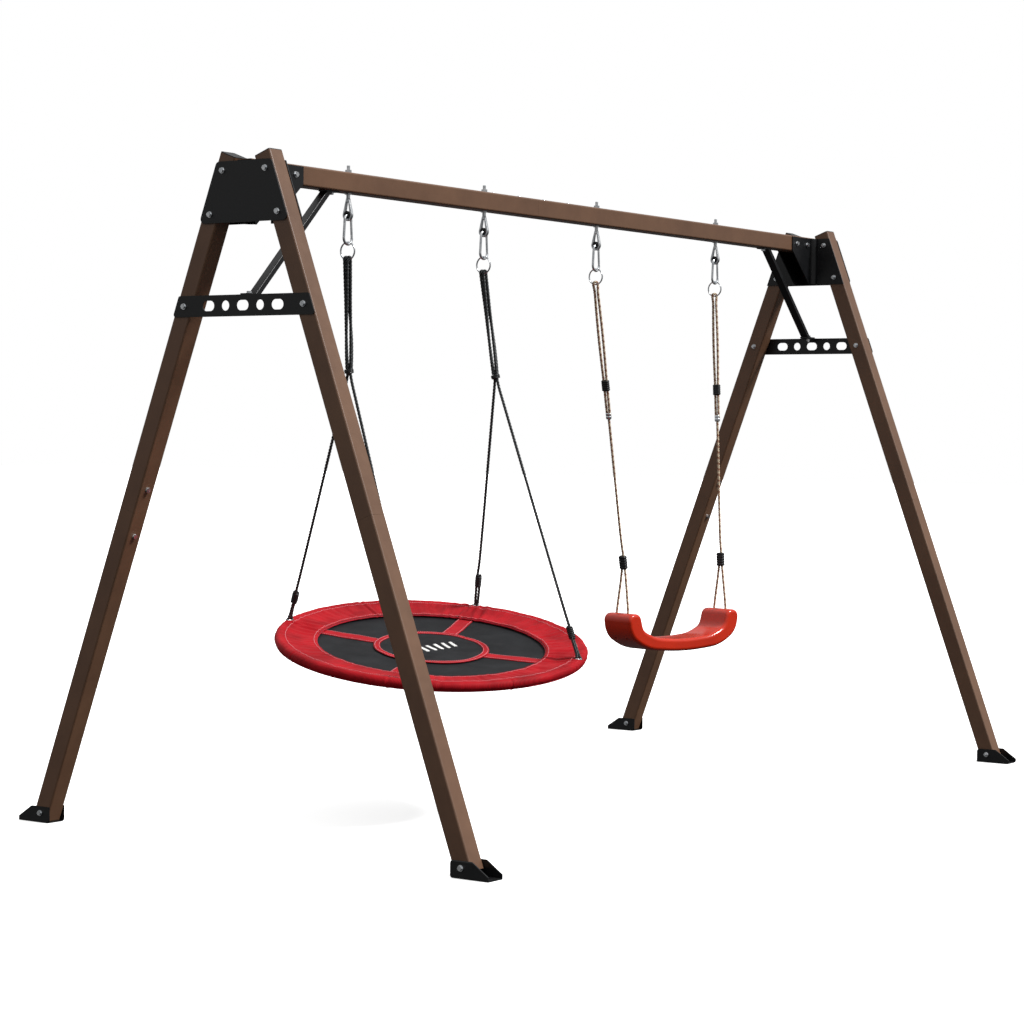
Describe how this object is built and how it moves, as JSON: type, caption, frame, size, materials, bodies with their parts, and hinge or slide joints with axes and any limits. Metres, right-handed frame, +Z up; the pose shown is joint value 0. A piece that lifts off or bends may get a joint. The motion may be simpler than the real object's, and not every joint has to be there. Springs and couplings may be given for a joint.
{
  "type": "swing set",
  "caption": "Steel garden swing set on two braced A-frames, with a round padded nest swing and a curved seat swing on ropes.",
  "frame": {"origin": "on the ground under the middle of the beam, at the centre of the bounding box's base", "axes": "+X along the beam from the nest swing towards the seat swing, +Y towards the back, +Z up"},
  "size_m": [3.4132, 1.798, 2.0269],
  "materials": {
    "brown_powder_coat": "satin",
    "black_powder_coat": "satin",
    "zinc_plate": "satin",
    "black_polymer": "matte",
    "black_rope": "twisted",
    "red_oxford": "woven",
    "black_oxford": "woven",
    "red_webbing": "woven",
    "red_polyethylene": "gloss",
    "beige_rope": "twisted"
  },
  "bodies": {
    "frame": {"beam_gussets": "black_powder_coat", "beam_left": "brown_powder_coat", "beam_right": "brown_powder_coat", "beam_splice_sleeve": "zinc_plate", "brace_bolts": "zinc_plate", "crossbar_bolts": "zinc_plate", "end_plate_bolts": "zinc_plate", "foot_bolts": "zinc_plate", "foot_brackets": "black_powder_coat", "gusset_beam_bolts": "zinc_plate", "hanger_bushes": "black_polymer", "hanger_nuts": "zinc_plate", "leg_end_caps": "black_polymer", "leg_splice_sleeves": "zinc_plate", "splice_bolts": "zinc_plate", "left_crossbar": "black_powder_coat", "left_end_plate": "black_powder_coat", "left_knee_brace": "black_powder_coat", "left_front_leg_lower": "brown_powder_coat", "left_front_leg_upper": "brown_powder_coat", "left_back_leg_lower": "brown_powder_coat", "left_back_leg_upper": "brown_powder_coat", "right_crossbar": "black_powder_coat", "right_end_plate": "black_powder_coat", "right_knee_brace": "black_powder_coat", "right_front_leg_lower": "brown_powder_coat", "right_front_leg_upper": "brown_powder_coat", "right_back_leg_lower": "brown_powder_coat", "right_back_leg_upper": "brown_powder_coat", "nest_left_hanger": "zinc_plate", "nest_right_hanger": "zinc_plate", "seat_left_hanger": "zinc_plate", "seat_right_hanger": "zinc_plate"},
    "nest": {"nest_cover": "red_oxford", "nest_hoop": "zinc_plate", "nest_mat": "black_oxford", "nest_straps": "red_webbing", "nest_left_carabiner": "zinc_plate", "nest_right_carabiner": "zinc_plate", "nest_rings": "zinc_plate", "nest_left_rope_hank": "black_rope", "nest_right_rope_hank": "black_rope", "nest_rope_adjusters": "black_polymer", "nest_rope_tails": "black_rope", "nest_rope_left_back": "black_rope", "nest_rope_left_front": "black_rope", "nest_rope_right_back": "black_rope", "nest_rope_right_front": "black_rope"},
    "seat": {"swing_seat": "red_polyethylene", "seat_left_carabiner": "zinc_plate", "seat_right_carabiner": "zinc_plate", "seat_rings": "zinc_plate", "seat_rope_adjusters": "black_polymer", "seat_rope_tails": "beige_rope", "seat_rope_left": "beige_rope", "seat_rope_right": "beige_rope"},
    "nest_left_gate": {"nest_left_gate": "zinc_plate"},
    "nest_right_gate": {"nest_right_gate": "zinc_plate"},
    "seat_left_gate": {"seat_left_gate": "zinc_plate"},
    "seat_right_gate": {"seat_right_gate": "zinc_plate"}
  },
  "joints": [
    {"name": "nest_swing", "type": "hinge", "parent": "frame", "child": "nest", "pos_m": [-0.868, 0, 1.874], "axis": [1, 0, 0], "range_deg": [-45, 45]},
    {"name": "seat_swing", "type": "hinge", "parent": "frame", "child": "seat", "pos_m": [0.545, 0, 1.874], "axis": [1, 0, 0], "range_deg": [-50, 50]},
    {"name": "nest_left_gate_hinge", "type": "hinge", "parent": "nest", "child": "nest_left_gate", "pos_m": [-1.20056, 0, 1.81236], "axis": [0, -1, 0], "range_deg": [0, 22], "stiffness_Nm_per_rad": 0.02},
    {"name": "nest_right_gate_hinge", "type": "hinge", "parent": "nest", "child": "nest_right_gate", "pos_m": [-0.49856, 0, 1.81236], "axis": [0, -1, 0], "range_deg": [0, 22], "stiffness_Nm_per_rad": 0.02},
    {"name": "seat_left_gate_hinge", "type": "hinge", "parent": "seat", "child": "seat_left_gate", "pos_m": [0.16344, 0, 1.81236], "axis": [0, -1, 0], "range_deg": [0, 22], "stiffness_Nm_per_rad": 0.02},
    {"name": "seat_right_gate_hinge", "type": "hinge", "parent": "seat", "child": "seat_right_gate", "pos_m": [0.96344, 0, 1.81236], "axis": [0, -1, 0], "range_deg": [0, 22], "stiffness_Nm_per_rad": 0.02}
  ]
}
